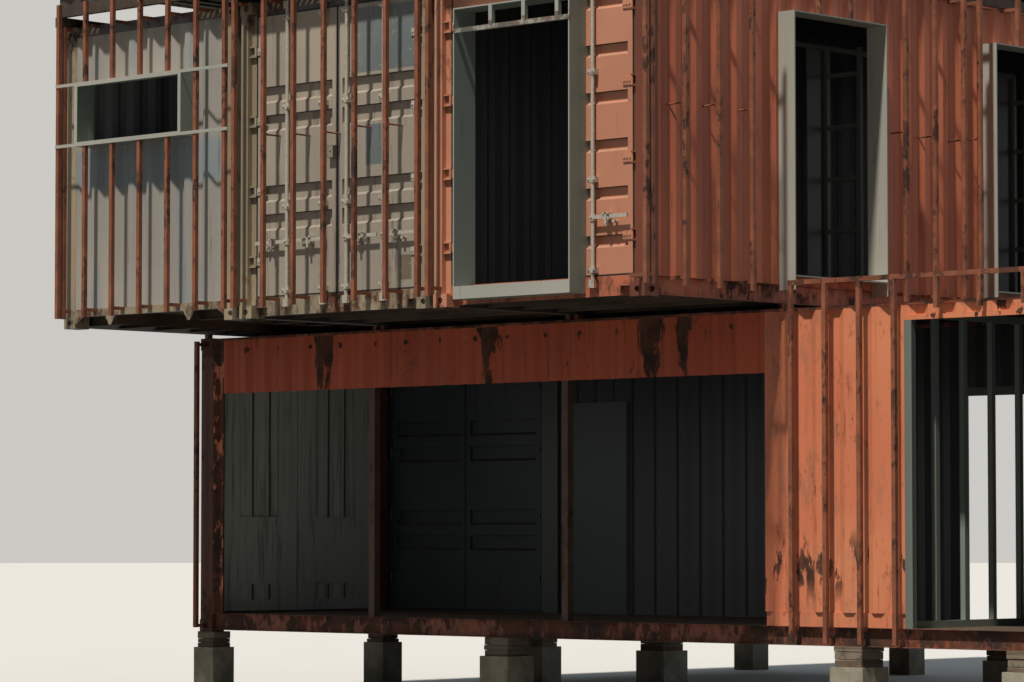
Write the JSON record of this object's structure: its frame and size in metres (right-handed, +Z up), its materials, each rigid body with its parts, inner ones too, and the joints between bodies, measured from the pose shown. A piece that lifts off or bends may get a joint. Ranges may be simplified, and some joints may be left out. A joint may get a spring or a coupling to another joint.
{
  "type": "shipping container cabin",
  "caption": "Two-storey cabin of stacked steel shipping containers with cut-out openings, hinged container doors, cladding bars and a flat roof, standing on concrete piers.",
  "frame": {"origin": "on the ground, under the front left corner of the lower container", "axes": "+X along the front to the right, +Y into the building, +Z up"},
  "size_m": [12.272, 12.54, 6.825],
  "materials": {
    "concrete": "rough cast concrete",
    "packing": "weathered packing blocks",
    "orange_steel": "faded salmon orange paint with rust patches",
    "dark_steel": "dark blue grey paint, scuffed",
    "grey_steel": "pale grey paint with rust streaks",
    "mixed_steel": "container paint, a different colour on each container",
    "door_green": "pale grey green paint, sunlit",
    "frame_green": "grey green plate with scratches",
    "rusty_bars": "rusty square tube",
    "galvanised": "galvanised rods with rust spots",
    "floor_ply": "worn dirty plywood on steel members",
    "roof_steel": "dull ribbed sheet",
    "board": "pale board"
  },
  "bodies": {
    "building": {"piers": "concrete", "pier_packers": "packing", "lower_posts": "orange_steel", "lower_rails": "orange_steel", "lower_floor": "floor_ply", "lower_roof": "orange_steel", "lower_front_wall": "orange_steel", "lower_back_wall": "dark_steel", "lower_end_wall": "orange_steel", "lower_lintels": "orange_steel", "opening_posts": "rusty_bars", "bay_frame": "frame_green", "bay_studs": "frame_green", "back_frames": "frame_green", "doorway_board": "board", "lower_bars": "rusty_bars", "terrace_rail": "rusty_bars", "rear_posts": "dark_steel", "rear_rails": "dark_steel", "rear_floor": "floor_ply", "rear_roof": "dark_steel", "rear_walls": "dark_steel", "back_support": "rusty_bars", "bearing_plates": "rusty_bars", "upper_posts": "mixed_steel", "upper_rails": "mixed_steel", "upper_floors": "floor_ply", "upper_roofs": "mixed_steel", "upper_walls": "mixed_steel", "grey_end_wall": "grey_steel", "high_window": "frame_green", "grey_doors": "grey_steel", "grey_door_rods": "galvanised", "back_doors": "grey_steel", "orange_doors": "orange_steel", "orange_door_rod": "galvanised", "upper_doorway": "frame_green", "window_wall": "orange_steel", "window_lintels": "orange_steel", "side_windows": "frame_green", "inner_frames": "frame_green", "front_bars": "rusty_bars", "side_bars": "rusty_bars", "back_bars": "rusty_bars", "roof_joists": "rusty_bars", "roof_beams": "rusty_bars", "roof_sheet": "roof_steel"},
    "rear_left_leaf": {"rear_left_leaf": "dark_steel"},
    "rear_right_leaf": {"rear_right_leaf": "dark_steel"},
    "lower_front_leaf": {"lower_front_leaf": "door_green"},
    "lower_back_leaf": {"lower_back_leaf": "door_green"}
  },
  "joints": [
    {"name": "rear_left_leaf_hinge", "type": "hinge", "parent": "building", "child": "rear_left_leaf", "pos_m": [0.168, 2.503, 2.0785], "axis": [0, 0, -1], "range_deg": [0, 85]},
    {"name": "rear_right_leaf_hinge", "type": "hinge", "parent": "building", "child": "rear_right_leaf", "pos_m": [2.27, 2.503, 2.0785], "axis": [0, 0, 1], "range_deg": [0, 85]},
    {"name": "lower_front_leaf_hinge", "type": "hinge", "parent": "building", "child": "lower_front_leaf", "pos_m": [0.04, 0.168, 2.0785], "axis": [0, 0, 1], "range_deg": [0, 105]},
    {"name": "lower_back_leaf_hinge", "type": "hinge", "parent": "building", "child": "lower_back_leaf", "pos_m": [0.04, 2.27, 2.0785], "axis": [0, 0, -1], "range_deg": [0, 105]}
  ]
}
